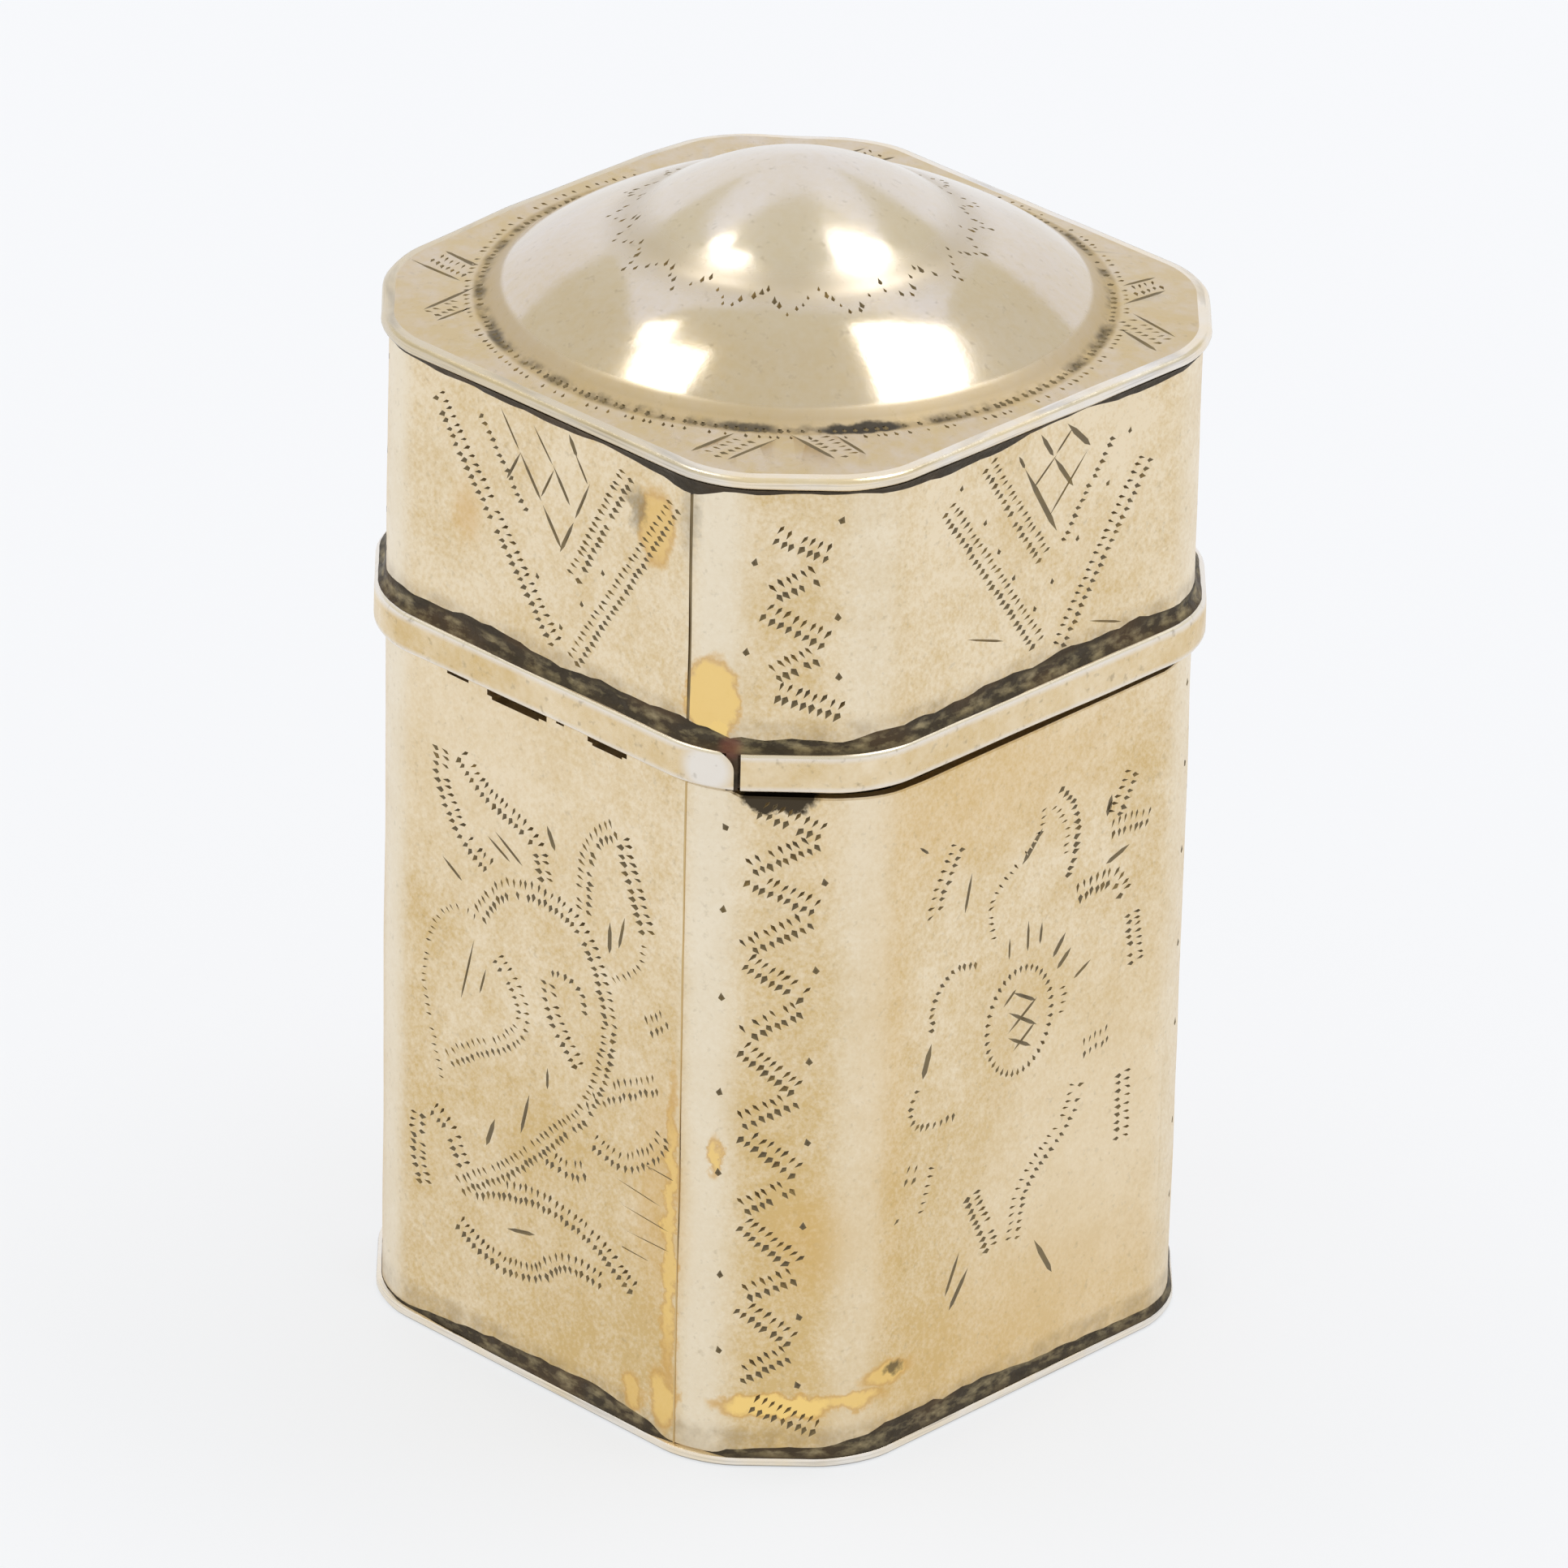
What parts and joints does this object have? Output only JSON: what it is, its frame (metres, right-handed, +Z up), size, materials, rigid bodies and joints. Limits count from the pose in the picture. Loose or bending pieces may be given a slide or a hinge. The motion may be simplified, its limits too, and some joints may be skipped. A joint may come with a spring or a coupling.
{
  "type": "scent box",
  "caption": "Small square silver scent box with canted corners, a stepped domed lid that slips over an inner collar, a soldered rim band, and a sponge inside that holds the scent.",
  "frame": {"origin": "middle of the base plate's underside", "axes": "+Z up through the dome's apex, X and Y square to the flat faces; the seams and the rim band's joint are at the +X -Y corner"},
  "size_m": [0.0322, 0.0322, 0.0569],
  "materials": {
    "tarnished_silver": "silver sheet with a warm pale gold tarnish, satin, engraved",
    "bright_silver": "silver rubbed bright by handling",
    "collar_silver": "gilt inside of the box, smooth",
    "seam_solder": "golden solder, slightly rough",
    "dark_solder": "solder blackened by tarnish, rough",
    "sponge": "dry natural sponge, porous and matt"
  },
  "bodies": {
    "case": {"case_wall": "tarnished_silver", "case_seam_solder": "seam_solder", "base_plate": "bright_silver", "base_solder": "dark_solder", "inner_collar": "collar_silver", "collar_solder": "dark_solder", "scent_sponge": "sponge"},
    "lid": {"lid_wall": "tarnished_silver", "lid_seam_solder": "seam_solder", "lid_top": "tarnished_silver", "lid_top_solder": "dark_solder", "rim_band": "bright_silver", "rim_band_solder": "dark_solder"}
  },
  "joints": [
    {"name": "lid_lift", "type": "slide", "parent": "case", "child": "lid", "axis": [0, 0, 1], "range_m": [0, 0.05]}
  ]
}
